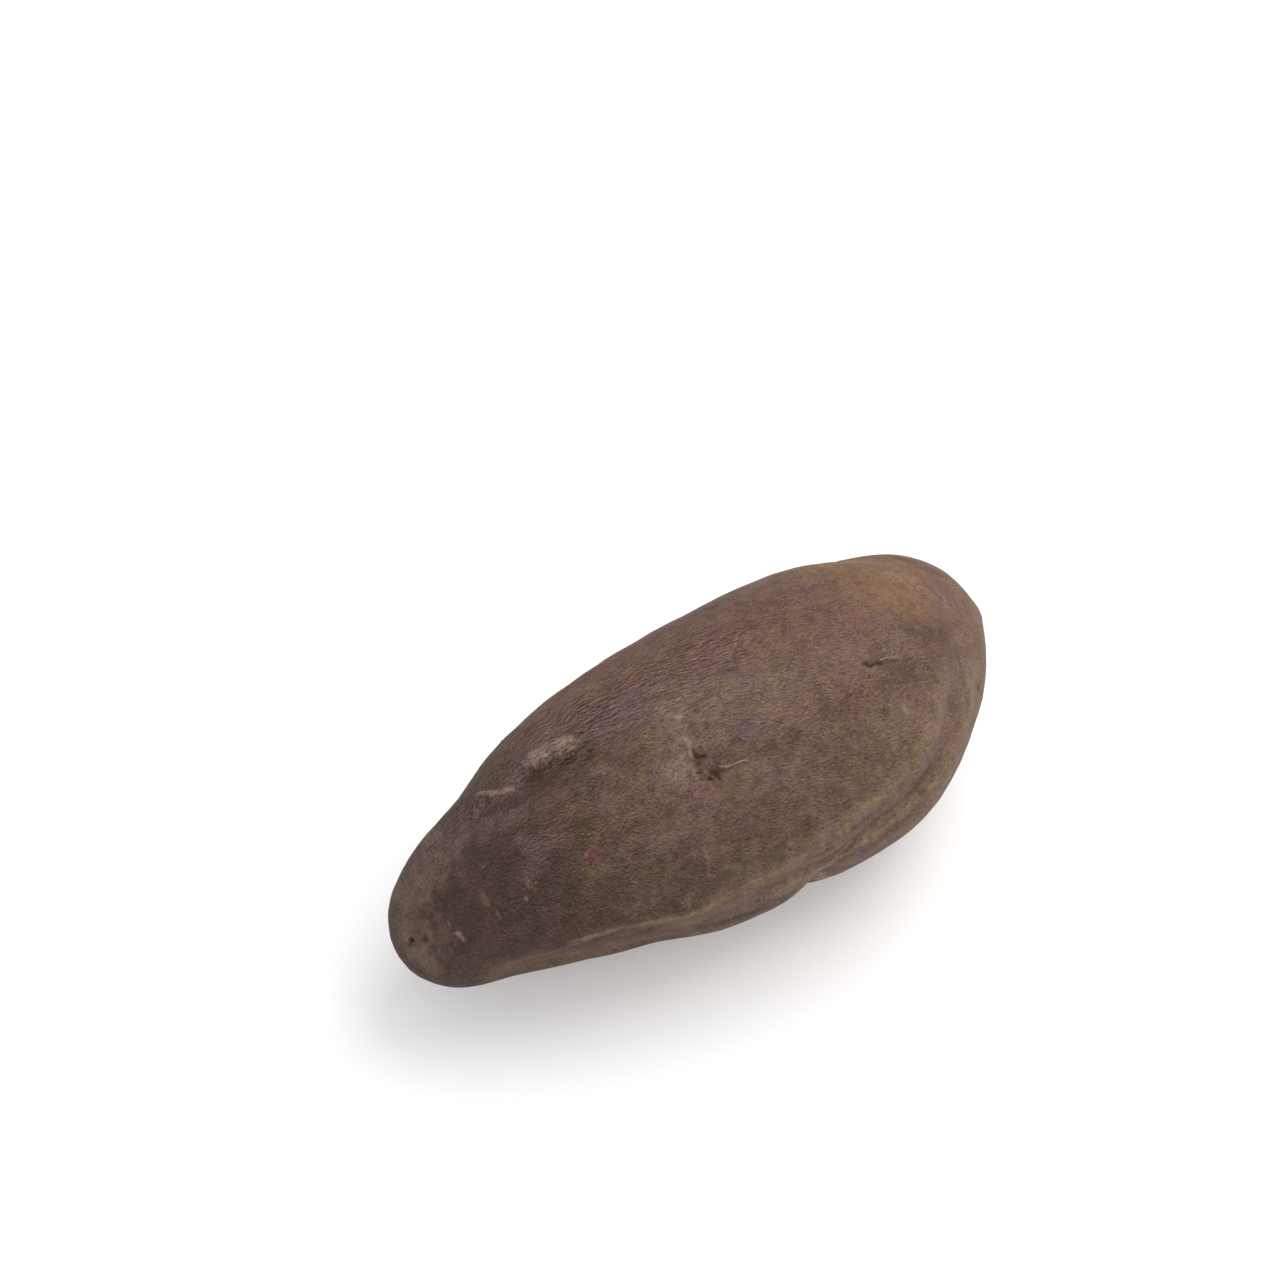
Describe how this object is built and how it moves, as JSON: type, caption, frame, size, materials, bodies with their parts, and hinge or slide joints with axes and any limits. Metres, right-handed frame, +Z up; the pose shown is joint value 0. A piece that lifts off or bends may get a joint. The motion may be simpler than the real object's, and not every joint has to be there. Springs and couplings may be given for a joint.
{
  "type": "purple sweet potato",
  "caption": "Whole unpeeled purple sweet potato, one plump tapered root with lengthwise folds and dull purple-brown skin.",
  "frame": {"origin": "under the middle of the root, on the surface that it rests on", "axes": "+X along the root towards its broad crown end, -Y to the side with the long folds, +Z up"},
  "size_m": [0.166, 0.0724, 0.0656],
  "materials": {
    "skin": "dull, dry, thin purple-brown skin with tan and mauve patches and fine corky scars"
  },
  "bodies": {
    "root": {"sweet_potato": "skin"}
  },
  "joints": []
}
